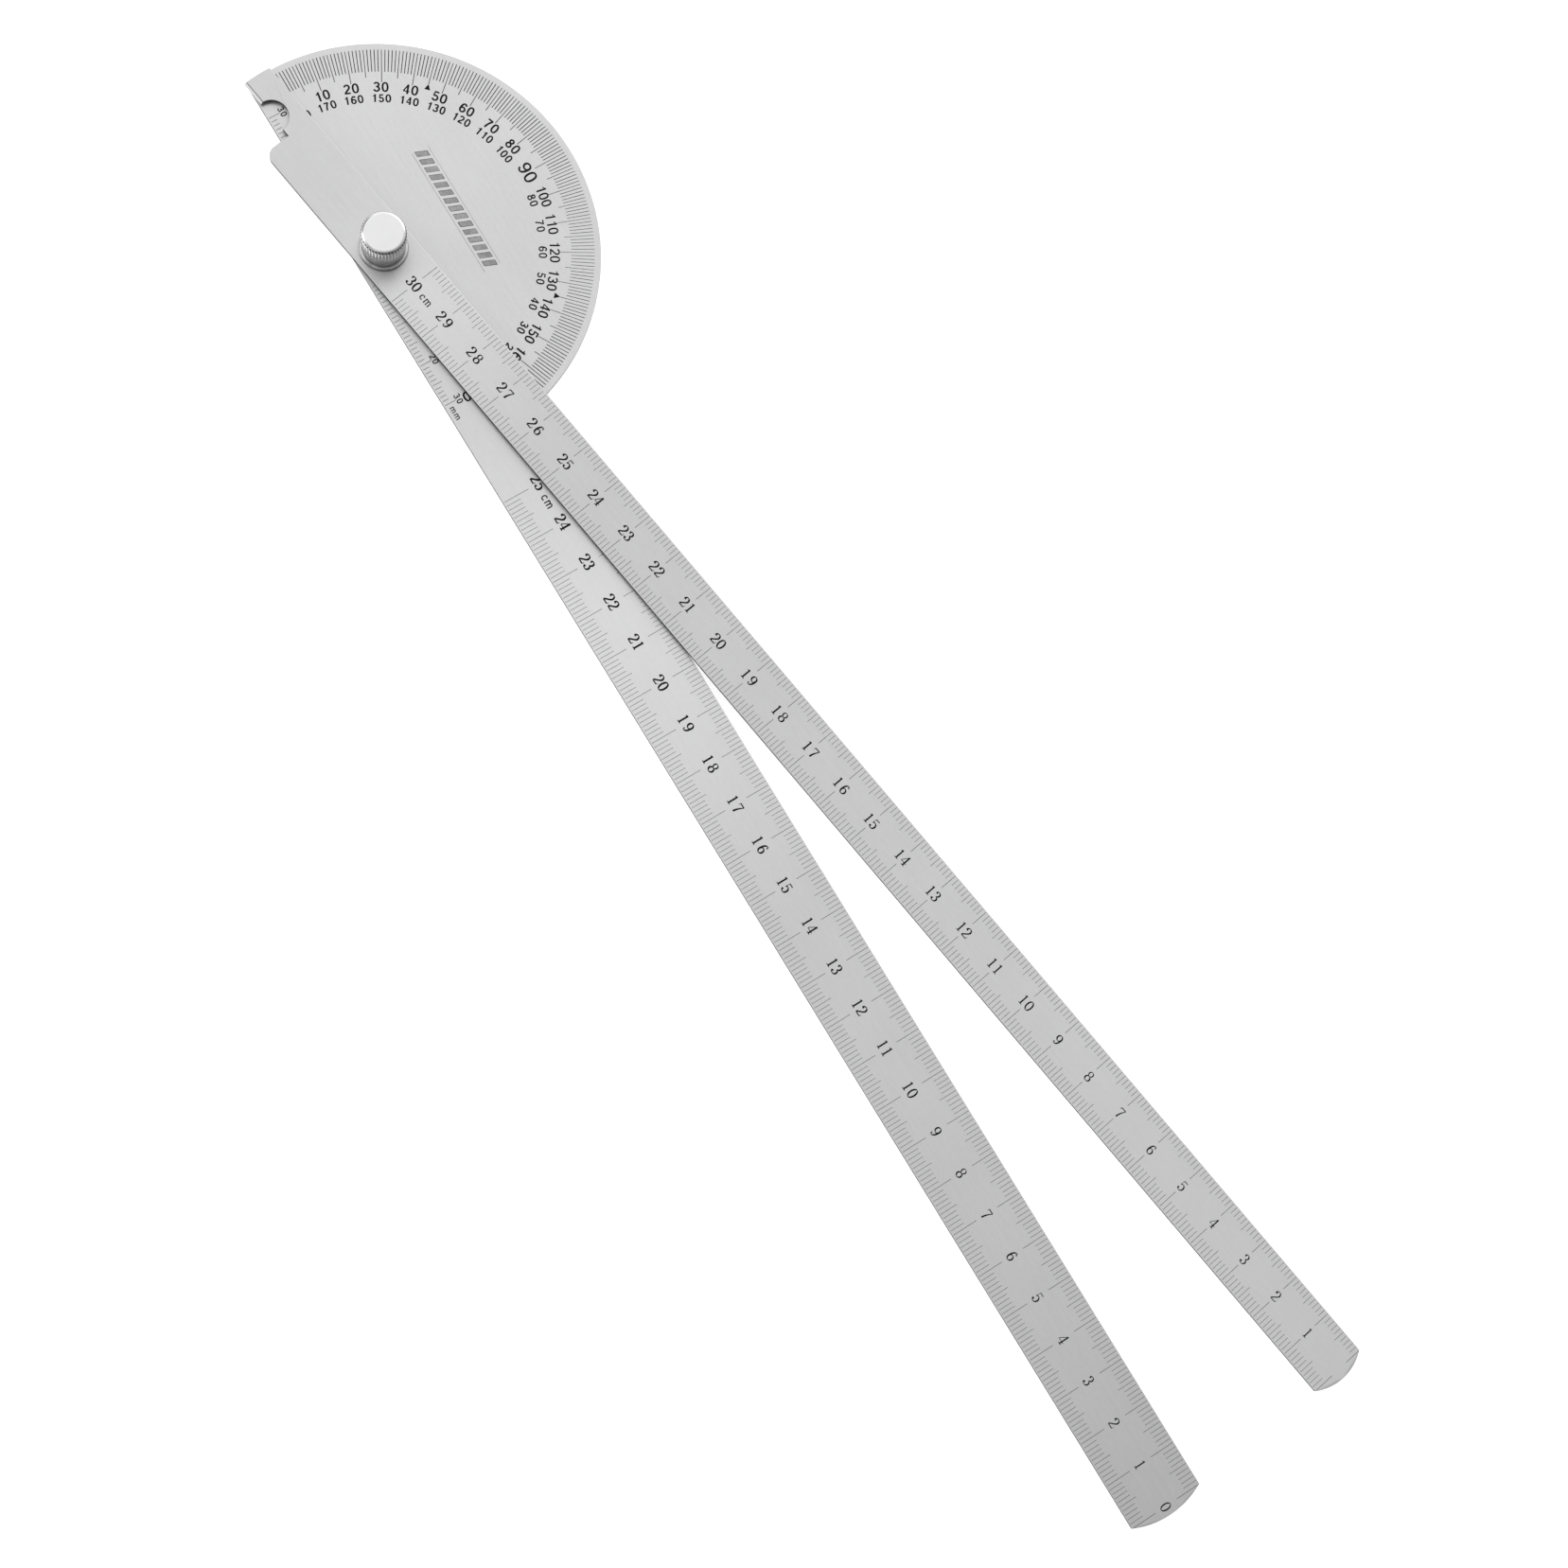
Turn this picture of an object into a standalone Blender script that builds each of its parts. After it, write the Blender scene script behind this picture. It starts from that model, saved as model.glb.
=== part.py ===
"""Two-arm stainless protractor: a half-round degree head with a long main blade, a swing arm turning on the
head's centre, and a knurled thumb nut that clamps the two.

Frame: origin on the pivot axis at the face the tool rests on, +X along the main blade, +Y towards the degree arc,
+Z up through the thumb nut. All dimensions below are millimetres and are converted once, by MM.
"""

import math

import bmesh
import bpy
from mathutils import Vector

MM = 0.001

# ---- driving dimensions, millimetres ----
SHEET = 1.0               # both blades are sheet of this thickness
HEAD_R = 46.4             # radius of the degree head about the pivot
BASELINE_Y = -6.6         # straight lower edge shared by the head and the main blade
BLADE_TOP_Y = 10.4        # upper edge of the main blade, which is 17 wide
BLADE_ZERO_X = 310.3      # the zero mark, where the rounded end begins
BLADE_END_SAG = 1.95      # how far the rounded end stands past the zero mark
ROOT_FILLET = 1.2         # fillet where the arc meets the blade's upper edge

ARM_HALF = 6.5            # half width of the swing arm
ARM_ZERO_U = 310.3
ARM_END_SAG = 2.0
ARM_TAIL_U = -31.6        # where the lower half of the arm's tail is cut off
ARM_TAIL_FILLET = 2.5
NOTCH_U = -37.15          # reading notch in the pointer's edge
NOTCH_R = 3.65
POINTER_BEVEL = 0.5       # the reading edge is bevelled back by this much on top
REST_ANGLE = 8.85         # degrees the arm stands open at rest

HEAD_H = 1.2              # rear head of the pivot stud
STUD_HEAD_R = 4.5
SHOULDER_R = 2.5          # plain journal that the arm turns on
THREAD_R = 2.0            # M4 thread, drawn as its major cylinder
STUD_TOP = 10.4
FIT = 0.02                # face-to-face clearance in the stack
PLATE_HOLE_R = 2.53
ARM_HOLE_R = 2.56
SPACER_T = 0.30
SPACER_R = 4.4
SPACER_HOLE_R = 2.65
WASHER_T = 0.65
WASHER_R = 5.25
WASHER_HOLE_R = 2.2

NUT_H = 8.95
NUT_COLLAR_R = 4.5
NUT_COLLAR_H = 3.75
NUT_KNURL_R = 4.85
NUT_KNURL_VALLEY_R = 4.64
NUT_RIDGES = 42
NUT_TOP_R = 4.5
NUT_CHAMFER = 0.35
NUT_BORE_R = 2.06
NUT_BORE_DEPTH = 7.0

ROUND = 48                # sides of a plain round feature

# ---- heights of the stack, from the rest face up ----
PLATE_Z0 = HEAD_H + FIT
PLATE_Z1 = PLATE_Z0 + SHEET
ARM_Z0 = PLATE_Z1 + SPACER_T
ARM_Z1 = ARM_Z0 + SHEET
WASHER_Z0 = ARM_Z1 + FIT
WASHER_Z1 = WASHER_Z0 + WASHER_T
NUT_Z0 = WASHER_Z1 + FIT
NUT_Z1 = NUT_Z0 + NUT_H
SHOULDER_TOP = ARM_Z1 - 0.1


def clear_scene():
    for obj in list(bpy.data.objects):
        bpy.data.objects.remove(obj, do_unlink=True)


def metal(name, colour, roughness):
    material = bpy.data.materials.new(name)
    material.use_nodes = True
    shader = material.node_tree.nodes["Principled BSDF"]
    shader.inputs["Base Color"].default_value = (*colour, 1.0)
    shader.inputs["Metallic"].default_value = 1.0
    shader.inputs["Roughness"].default_value = roughness
    material.diffuse_color = (*colour, 1.0)
    return material


def arc(cx, cy, r, a0, a1, count):
    """Points on an arc from a0 to a1 degrees, both ends included."""
    step = (a1 - a0) / count
    return [
        (
            cx + r * math.cos(math.radians(a0 + i * step)),
            cy + r * math.sin(math.radians(a0 + i * step)),
        )
        for i in range(count + 1)
    ]


def bulged_end(x, low, high, sag, count):
    """Points of a shallow convex end, from (x, low) round to (x, high)."""
    half = (high - low) / 2
    r = (half * half + sag * sag) / (2 * sag)
    spread = math.degrees(math.asin(half / r))
    return arc(x + sag - r, (low + high) / 2, r, -spread, spread, count)


def plate_outline():
    """The head and the main blade, anticlockwise from the head's left corner."""
    left_x = -math.sqrt(HEAD_R**2 - BASELINE_Y**2)
    points = [(left_x, BASELINE_Y)]
    points += bulged_end(BLADE_ZERO_X, BASELINE_Y, BLADE_TOP_Y, BLADE_END_SAG, 20)
    # the fillet touches the blade's upper edge and the outside of the head's circle
    fy = BLADE_TOP_Y + ROOT_FILLET
    fx = math.sqrt((HEAD_R + ROOT_FILLET) ** 2 - fy**2)
    lean = math.degrees(math.atan2(fy, fx))
    points += arc(fx, fy, ROOT_FILLET, 270, 180 + lean, 6)
    left = 180 + math.degrees(math.atan2(-BASELINE_Y, -left_x))
    points += arc(0, 0, HEAD_R, lean, left, 84)[1:-1]
    return points


def arm_outline(bevel):
    """The swing arm about the pivot, anticlockwise from the pointer's tip. bevel is how far the reading edge stands back."""
    tip_u = -math.sqrt(HEAD_R**2 - bevel**2)
    notch_start = 180 - math.degrees(math.asin(bevel / NOTCH_R))
    points = [(tip_u, bevel)]
    points += arc(NOTCH_U, 0, NOTCH_R, notch_start, 0, 18)
    points += [(ARM_TAIL_U, 0)]
    points += arc(
        ARM_TAIL_U + ARM_TAIL_FILLET,
        -ARM_HALF + ARM_TAIL_FILLET,
        ARM_TAIL_FILLET,
        180,
        270,
        8,
    )
    points += bulged_end(ARM_ZERO_U, -ARM_HALF, ARM_HALF, ARM_END_SAG, 16)
    start = math.degrees(math.asin(ARM_HALF / HEAD_R))
    end = math.degrees(math.asin(bevel / HEAD_R))
    points += arc(0, 0, HEAD_R, 180 - start, 180 - end, 4)[:-1]
    return points


def sheet_with_hole(name, low, high, z0, z1, hole_r, material, angle=0.0):
    """A flat sheet between two outlines of equal length, with a round hole on the origin."""
    mesh_maker = bmesh.new()
    rings = {}
    for z, outline in ((z0, low), (z1, high)):
        outer = [mesh_maker.verts.new((x * MM, y * MM, z * MM)) for x, y in outline]
        inner = [
            mesh_maker.verts.new((x * MM, y * MM, z * MM))
            for x, y in arc(0, 0, hole_r, 0, 360, ROUND)[:-1]
        ]
        rings[z] = (outer, inner)
        edges = []
        for ring in (outer, inner):
            for i, v in enumerate(ring):
                edges.append(mesh_maker.edges.new((v, ring[(i + 1) % len(ring)])))
        bmesh.ops.triangle_fill(
            mesh_maker,
            use_beauty=True,
            use_dissolve=False,
            edges=edges,
            normal=Vector((0, 0, 1)),
        )
    for k in range(2):
        below, above = rings[z0][k], rings[z1][k]
        n = len(below)
        for i in range(n):
            j = (i + 1) % n
            mesh_maker.faces.new((below[i], below[j], above[j], above[i]))
    bmesh.ops.recalc_face_normals(mesh_maker, faces=mesh_maker.faces[:])
    obj = new_object(name, mesh_maker, material)
    obj.rotation_euler = (0, 0, math.radians(angle))
    return obj


def new_object(name, mesh_maker, material):
    mesh = bpy.data.meshes.new(name)
    mesh_maker.to_mesh(mesh)
    mesh_maker.free()
    mesh.materials.append(material)
    mesh.shade_smooth()
    mesh.set_sharp_from_angle(angle=math.radians(25))
    obj = bpy.data.objects.new(name, mesh)
    bpy.context.scene.collection.objects.link(obj)
    return obj


def circle(r, sides):
    return [
        (r * math.cos(2 * math.pi * i / sides), r * math.sin(2 * math.pi * i / sides))
        for i in range(sides)
    ]


def star(r_out, r_in, ridges):
    """A straight knurl's section: a ridge and a valley by turns."""
    points = []
    for i in range(2 * ridges):
        r = r_out if i % 2 == 0 else r_in
        a = math.pi * i / ridges
        points.append((r * math.cos(a), r * math.sin(a)))
    return points


def lofted(name, sections, material, closed=False):
    """Skins a list of (section points, z). The ends are capped, or, if closed, the last section joins the first."""
    mesh_maker = bmesh.new()
    rings = [
        [mesh_maker.verts.new((x * MM, y * MM, z * MM)) for x, y in section]
        for section, z in sections
    ]
    pairs = list(zip(rings, rings[1:]))
    if closed:
        pairs.append((rings[-1], rings[0]))
    for a, b in pairs:
        n = len(a)
        for i in range(n):
            j = (i + 1) % n
            mesh_maker.faces.new((a[i], a[j], b[j], b[i]))
    if not closed:
        mesh_maker.faces.new(list(reversed(rings[0])))
        mesh_maker.faces.new(rings[-1])
    bmesh.ops.recalc_face_normals(mesh_maker, faces=mesh_maker.faces[:])
    return new_object(name, mesh_maker, material)


def washer(name, r, hole_r, z0, z1, edge, material):
    """A flat ring whose outer rim is broken by a small chamfer."""
    return lofted(
        name,
        [
            (circle(hole_r, ROUND), z0),
            (circle(r - edge, ROUND), z0),
            (circle(r, ROUND), z0 + edge),
            (circle(r, ROUND), z1 - edge),
            (circle(r - edge, ROUND), z1),
            (circle(hole_r, ROUND), z1),
        ],
        material,
        closed=True,
    )


def pivot_stud(material):
    return lofted(
        "pivot_stud",
        [
            (circle(STUD_HEAD_R - 0.35, ROUND), 0.0),
            (circle(STUD_HEAD_R, ROUND), 0.35),
            (circle(STUD_HEAD_R, ROUND), HEAD_H),
            (circle(SHOULDER_R, ROUND), HEAD_H),
            (circle(SHOULDER_R, ROUND), SHOULDER_TOP),
            (circle(THREAD_R, ROUND), SHOULDER_TOP),
            (circle(THREAD_R, ROUND), STUD_TOP - 0.4),
            (circle(THREAD_R - 0.4, ROUND), STUD_TOP),
        ],
        material,
    )


def thumb_nut(material):
    sides = 2 * NUT_RIDGES
    knurl = star(NUT_KNURL_R, NUT_KNURL_VALLEY_R, NUT_RIDGES)
    return lofted(
        "thumb_nut",
        [
            (circle(NUT_BORE_R, sides), NUT_Z0 + NUT_BORE_DEPTH),
            (circle(NUT_BORE_R, sides), NUT_Z0),
            (circle(NUT_COLLAR_R, sides), NUT_Z0),
            (circle(NUT_COLLAR_R, sides), NUT_Z0 + NUT_COLLAR_H),
            (knurl, NUT_Z0 + NUT_COLLAR_H + 0.2),
            (knurl, NUT_Z1 - NUT_CHAMFER),
            (circle(NUT_TOP_R, sides), NUT_Z1),
        ],
        material,
    )


def main():
    clear_scene()
    blade_steel = metal("blade_steel", (0.72, 0.72, 0.73), 0.34)
    arm_steel = metal("arm_steel", (0.76, 0.76, 0.77), 0.32)
    bright_metal = metal("bright_metal", (0.84, 0.84, 0.85), 0.22)
    washer_metal = metal("washer_metal", (0.74, 0.74, 0.75), 0.28)

    outline = plate_outline()
    sheet_with_hole(
        "protractor_plate",
        outline,
        outline,
        PLATE_Z0,
        PLATE_Z1,
        PLATE_HOLE_R,
        blade_steel,
    )
    sheet_with_hole(
        "swing_arm",
        arm_outline(0.0),
        arm_outline(POINTER_BEVEL),
        ARM_Z0,
        ARM_Z1,
        ARM_HOLE_R,
        arm_steel,
        REST_ANGLE,
    )
    pivot_stud(bright_metal)
    washer(
        "spacer_washer",
        SPACER_R,
        SPACER_HOLE_R,
        PLATE_Z1 + FIT,
        ARM_Z0 - FIT,
        0.05,
        washer_metal,
    )
    washer(
        "clamp_washer",
        WASHER_R,
        WASHER_HOLE_R,
        WASHER_Z0,
        WASHER_Z1,
        0.12,
        washer_metal,
    )
    thumb_nut(bright_metal)


main()
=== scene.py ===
import math

import bmesh
import bpy
from mathutils import Matrix, Vector


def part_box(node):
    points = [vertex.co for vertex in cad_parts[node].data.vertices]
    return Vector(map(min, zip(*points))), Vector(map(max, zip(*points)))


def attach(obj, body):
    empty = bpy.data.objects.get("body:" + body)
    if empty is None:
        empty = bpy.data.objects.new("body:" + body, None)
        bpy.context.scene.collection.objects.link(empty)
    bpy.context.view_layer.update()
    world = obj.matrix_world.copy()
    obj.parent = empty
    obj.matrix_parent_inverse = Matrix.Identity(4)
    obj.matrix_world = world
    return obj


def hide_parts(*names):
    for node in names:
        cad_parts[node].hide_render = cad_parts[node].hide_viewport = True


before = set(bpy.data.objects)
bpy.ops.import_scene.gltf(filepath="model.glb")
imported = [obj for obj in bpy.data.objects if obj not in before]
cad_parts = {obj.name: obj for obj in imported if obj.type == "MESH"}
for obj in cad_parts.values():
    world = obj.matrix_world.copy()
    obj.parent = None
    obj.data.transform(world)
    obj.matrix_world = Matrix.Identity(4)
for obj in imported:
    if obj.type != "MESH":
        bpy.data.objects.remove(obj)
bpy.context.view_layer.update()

# ---------------------------------------------------------------- sizes, in millimetres, as in the CAD
MM = 0.001
HEAD_R = 46.4
BASELINE_Y = -6.6
BLADE_TOP_Y = 10.4
BLADE_ZERO_X = 310.3
BLADE_END_SAG = 1.95
ROOT_FILLET = 1.2
ARM_HALF = 6.5
ARM_ZERO_U = 310.3
ARM_END_SAG = 2.0
ARM_TAIL_U = -31.6
ARM_TAIL_FILLET = 2.5
NOTCH_U = -37.15
NOTCH_R = 3.65
POINTER_BEVEL = 0.5
REST_ANGLE = 8.85
PLATE_HOLE_R = 2.53
ARM_HOLE_R = 2.56
SPACER_R, SPACER_HOLE_R = 4.4, 2.65
WASHER_R, WASHER_HOLE_R = 5.25, 2.2
STUD_HEAD_R, SHOULDER_R, THREAD_R = 4.5, 2.5, 2.0
NUT_COLLAR_R, NUT_COLLAR_H = 4.5, 3.75
NUT_KNURL_R, NUT_VALLEY_R, NUT_RIDGES = 4.85, 4.58, 42
NUT_TOP_R, NUT_BORE_R, NUT_BORE_DEPTH = 4.5, 2.06, 7.0
PITCH = 0.7

PLATE_Z0, PLATE_Z1 = (c.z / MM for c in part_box("protractor_plate"))
ARM_Z0, ARM_Z1 = (c.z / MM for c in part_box("swing_arm"))
SPACER_Z0, SPACER_Z1 = (c.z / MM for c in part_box("spacer_washer"))
WASHER_Z0, WASHER_Z1 = (c.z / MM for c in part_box("clamp_washer"))
NUT_Z0, NUT_Z1 = (c.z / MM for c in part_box("thumb_nut"))
STUD_Z0, STUD_Z1 = (c.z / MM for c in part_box("pivot_stud"))

INK_OVER = 0.006          # how far the filled etching stands over the sheet
INK_UNDER = 0.03
EDGE = 0.12               # the radius that breaks the sheets' edges


# ---------------------------------------------------------------- outlines
def arc(cx, cy, r, a0, a1, count):
    step = (a1 - a0) / count
    return [
        (
            cx + r * math.cos(math.radians(a0 + i * step)),
            cy + r * math.sin(math.radians(a0 + i * step)),
        )
        for i in range(count + 1)
    ]


def bulged_end(x, low, high, sag, count):
    half = (high - low) / 2
    r = (half * half + sag * sag) / (2 * sag)
    spread = math.degrees(math.asin(half / r))
    return arc(x + sag - r, (low + high) / 2, r, -spread, spread, count)


def plate_outline():
    left_x = -math.sqrt(HEAD_R**2 - BASELINE_Y**2)
    points = [(left_x, BASELINE_Y)]
    points += bulged_end(BLADE_ZERO_X, BASELINE_Y, BLADE_TOP_Y, BLADE_END_SAG, 40)
    fy = BLADE_TOP_Y + ROOT_FILLET
    fx = math.sqrt((HEAD_R + ROOT_FILLET) ** 2 - fy**2)
    lean = math.degrees(math.atan2(fy, fx))
    points += arc(fx, fy, ROOT_FILLET, 270, 180 + lean, 12)
    left = 180 + math.degrees(math.atan2(-BASELINE_Y, -left_x))
    points += arc(0, 0, HEAD_R, lean, left, 252)[1:-1]
    return points


def arm_outline(bevel):
    tip_u = -math.sqrt(HEAD_R**2 - bevel**2)
    notch_start = 180 - math.degrees(math.asin(bevel / NOTCH_R))
    points = [(tip_u, bevel)]
    points += arc(NOTCH_U, 0, NOTCH_R, notch_start, 0, 48)
    points += [(ARM_TAIL_U, 0)]
    points += arc(
        ARM_TAIL_U + ARM_TAIL_FILLET,
        -ARM_HALF + ARM_TAIL_FILLET,
        ARM_TAIL_FILLET,
        180,
        270,
        20,
    )
    points += bulged_end(ARM_ZERO_U, -ARM_HALF, ARM_HALF, ARM_END_SAG, 36)
    start = math.degrees(math.asin(ARM_HALF / HEAD_R))
    end = math.degrees(math.asin(bevel / HEAD_R))
    points += arc(0, 0, HEAD_R, 180 - start, 180 - end, 10)[:-1]
    return points


def inset(points, d):
    """An anticlockwise outline moved inwards by d, mitred."""
    out = []
    n = len(points)
    for i in range(n):
        (x0, y0), (x1, y1), (x2, y2) = points[i - 1], points[i], points[(i + 1) % n]
        a = Vector((x1 - x0, y1 - y0)).normalized()
        b = Vector((x2 - x1, y2 - y1)).normalized()
        na, nb = Vector((-a.y, a.x)), Vector((-b.y, b.x))
        m = (na + nb) / (1 + na.dot(nb))
        out.append((x1 + d * m.x, y1 + d * m.y))
    return out


# ---------------------------------------------------------------- mesh helpers
def finish_object(name, bm, material, sharp=30.0, weighted=True):
    mesh = bpy.data.meshes.new(name)
    bm.to_mesh(mesh)
    bm.free()
    mesh.materials.append(material)
    mesh.shade_smooth()
    mesh.set_sharp_from_angle(angle=math.radians(sharp))
    obj = bpy.data.objects.new(name, mesh)
    bpy.context.scene.collection.objects.link(obj)
    if weighted:
        m = obj.modifiers.new("normals", "WEIGHTED_NORMAL")
        m.mode = "FACE_AREA"
        m.weight = 100
        m.keep_sharp = True
    return obj


def flat_uv(obj, scale=1 / 0.36):
    layer = obj.data.uv_layers.new(name="UVMap")
    for loop in obj.data.loops:
        co = obj.data.vertices[loop.vertex_index].co
        layer.data[loop.index].uv = (co.x * scale + 0.15, co.y * scale + 0.15)


def sheet(name, low, high, z0, z1, hole_r, edge, material):
    """A sheet with a round hole, whose edges are broken all round by a small radius."""
    bm = bmesh.new()
    k = 1 - math.cos(math.radians(45))
    steps = [
        (low, edge, z0),
        (low, k * edge, z0 + k * edge),
        (low, 0.0, z0 + edge),
        (high, 0.0, z1 - edge),
        (high, k * edge, z1 - k * edge),
        (high, edge, z1),
    ]
    outer, inner = [], []
    for outline, d, z in steps:
        outer.append(
            [bm.verts.new((x * MM, y * MM, z * MM)) for x, y in (inset(outline, d) if d else outline)]
        )
        inner.append(
            [bm.verts.new((x * MM, y * MM, z * MM)) for x, y in arc(0, 0, hole_r + d, 0, 360, 96)[:-1]]
        )
    for rings in (outer, inner):
        for a, b in zip(rings, rings[1:]):
            n = len(a)
            for i in range(n):
                j = (i + 1) % n
                bm.faces.new((a[i], a[j], b[j], b[i]))
    for k_ in (0, -1):
        edges = []
        for ring in (outer[k_], inner[k_]):
            for i, v in enumerate(ring):
                e = bm.edges.get((v, ring[(i + 1) % len(ring)]))
                edges.append(e)
        bmesh.ops.triangle_fill(
            bm, use_beauty=True, use_dissolve=False, edges=edges, normal=Vector((0, 0, 1))
        )
    bmesh.ops.recalc_face_normals(bm, faces=bm.faces[:])
    obj = finish_object(name, bm, material)
    flat_uv(obj)
    return obj


def ring_points(r, sides, phase=0.0):
    return [
        (
            r * math.cos(2 * math.pi * i / sides + phase),
            r * math.sin(2 * math.pi * i / sides + phase),
        )
        for i in range(sides)
    ]


def lofted(name, sections, material, closed=False, sharp=30.0):
    """Skins sections given as (points, z). The two ends are capped by a fan, or joined if closed."""
    bm = bmesh.new()
    rings = [[bm.verts.new((x * MM, y * MM, z * MM)) for x, y in s] for s, z in sections]
    pairs = list(zip(rings, rings[1:]))
    if closed:
        pairs.append((rings[-1], rings[0]))
    for a, b in pairs:
        n = len(a)
        for i in range(n):
            j = (i + 1) % n
            bm.faces.new((a[i], a[j], b[j], b[i]))
    if not closed:
        for ring, z in ((rings[0], sections[0][1]), (rings[-1], sections[-1][1])):
            c = bm.verts.new((0, 0, z * MM))
            for i, v in enumerate(ring):
                bm.faces.new((v, ring[(i + 1) % len(ring)], c))
    bmesh.ops.recalc_face_normals(bm, faces=bm.faces[:])
    return finish_object(name, bm, material, sharp=sharp)


def rounded_profile(corners, sides, steps=4):
    """Sections of a turned piece from its profile corners (r, z, radius of the rounding)."""
    sections = []
    n = len(corners)
    for i, (r, z, f) in enumerate(corners):
        if f <= 0 or i in (0, n - 1):
            sections.append((ring_points(r, sides), z))
            continue
        p, a, b = Vector((r, z)), Vector(corners[i - 1][:2]), Vector(corners[i + 1][:2])
        da, db = (a - p).normalized(), (b - p).normalized()
        half = da.angle(db) / 2
        reach = f / math.tan(half)
        start, end = p + da * reach, p + db * reach
        for s in range(steps + 1):
            t = s / steps
            q = (1 - t) ** 2 * start + 2 * t * (1 - t) * p + t * t * end
            sections.append((ring_points(q.x, sides), q.y))
    return sections


# ---------------------------------------------------------------- marks: thin filled strokes
class Ink:
    """Collects flat strokes as closed thin solids. Each stroke's top is a hair over the last, so that none coincide."""

    def __init__(self, top):
        self.verts, self.faces, self.top, self.count = [], [], top, 0

    def strip(self, left, right, closed=False):
        z1 = self.top + INK_OVER + (self.count % 8) * 0.0004
        z0 = self.top - INK_UNDER - (self.count % 8) * 0.0004
        self.count += 1
        base = len(self.verts)
        n = len(left)
        for (lx, ly), (rx, ry) in zip(left, right):
            self.verts += [
                (lx * MM, ly * MM, z0 * MM),
                (rx * MM, ry * MM, z0 * MM),
                (rx * MM, ry * MM, z1 * MM),
                (lx * MM, ly * MM, z1 * MM),
            ]
        last = n if closed else n - 1
        for i in range(last):
            a, b = base + 4 * i, base + 4 * ((i + 1) % n)
            for s in range(4):
                t = (s + 1) % 4
                self.faces.append((a + s, a + t, b + t, b + s))
        if not closed:
            e = base + 4 * (n - 1)
            self.faces.append((base + 3, base + 2, base + 1, base))
            self.faces.append((e, e + 1, e + 2, e + 3))

    def bar(self, x0, y0, x1, y1, width):
        d = Vector((x1 - x0, y1 - y0)).normalized()
        nx, ny = -d.y * width / 2, d.x * width / 2
        self.strip([(x0 + nx, y0 + ny), (x1 + nx, y1 + ny)], [(x0 - nx, y0 - ny), (x1 - nx, y1 - ny)])

    def polygon(self, points):
        """A convex polygon, as a strip between its two chains."""
        n = len(points)
        left = [points[i] for i in range(0, (n + 1) // 2)]
        right = [points[-1 - i] for i in range(0, (n + 1) // 2)]
        self.strip(left, right)

    def build(self, name, material):
        mesh = bpy.data.meshes.new(name)
        mesh.from_pydata(self.verts, [], self.faces)
        bm = bmesh.new()
        bm.from_mesh(mesh)
        bmesh.ops.remove_doubles(bm, verts=bm.verts[:], dist=1e-9)
        bmesh.ops.recalc_face_normals(bm, faces=bm.faces[:])
        bm.to_mesh(mesh)
        bm.free()
        mesh.materials.append(material)
        obj = bpy.data.objects.new(name, mesh)
        bpy.context.scene.collection.objects.link(obj)
        return obj


def ell(cx, cy, rx, ry, a0, a1, n=20, p=2.0):
    out = []
    for i in range(n + 1):
        a = math.radians(a0 + (a1 - a0) * i / n)
        c, s = math.cos(a), math.sin(a)
        out.append(
            (
                cx + rx * math.copysign(abs(c) ** (2 / p), c),
                cy + ry * math.copysign(abs(s) ** (2 / p), s),
            )
        )
    return out


def bez(p0, p1, p2, p3, n=16):
    out = []
    for i in range(n + 1):
        t = i / n
        a, b, c, d = (1 - t) ** 3, 3 * t * (1 - t) ** 2, 3 * t * t * (1 - t), t**3
        out.append(
            (
                a * p0[0] + b * p1[0] + c * p2[0] + d * p3[0],
                a * p0[1] + b * p1[1] + c * p2[1] + d * p3[1],
            )
        )
    return out


def turned(strokes, width):
    """The strokes of a digit turned half round in its own box."""
    out = []
    for s in strokes:
        s = dict(s)
        s["path"] = [(width - x, 1 - y) for x, y in s["path"]]
        out.append(s)
    return out


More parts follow.
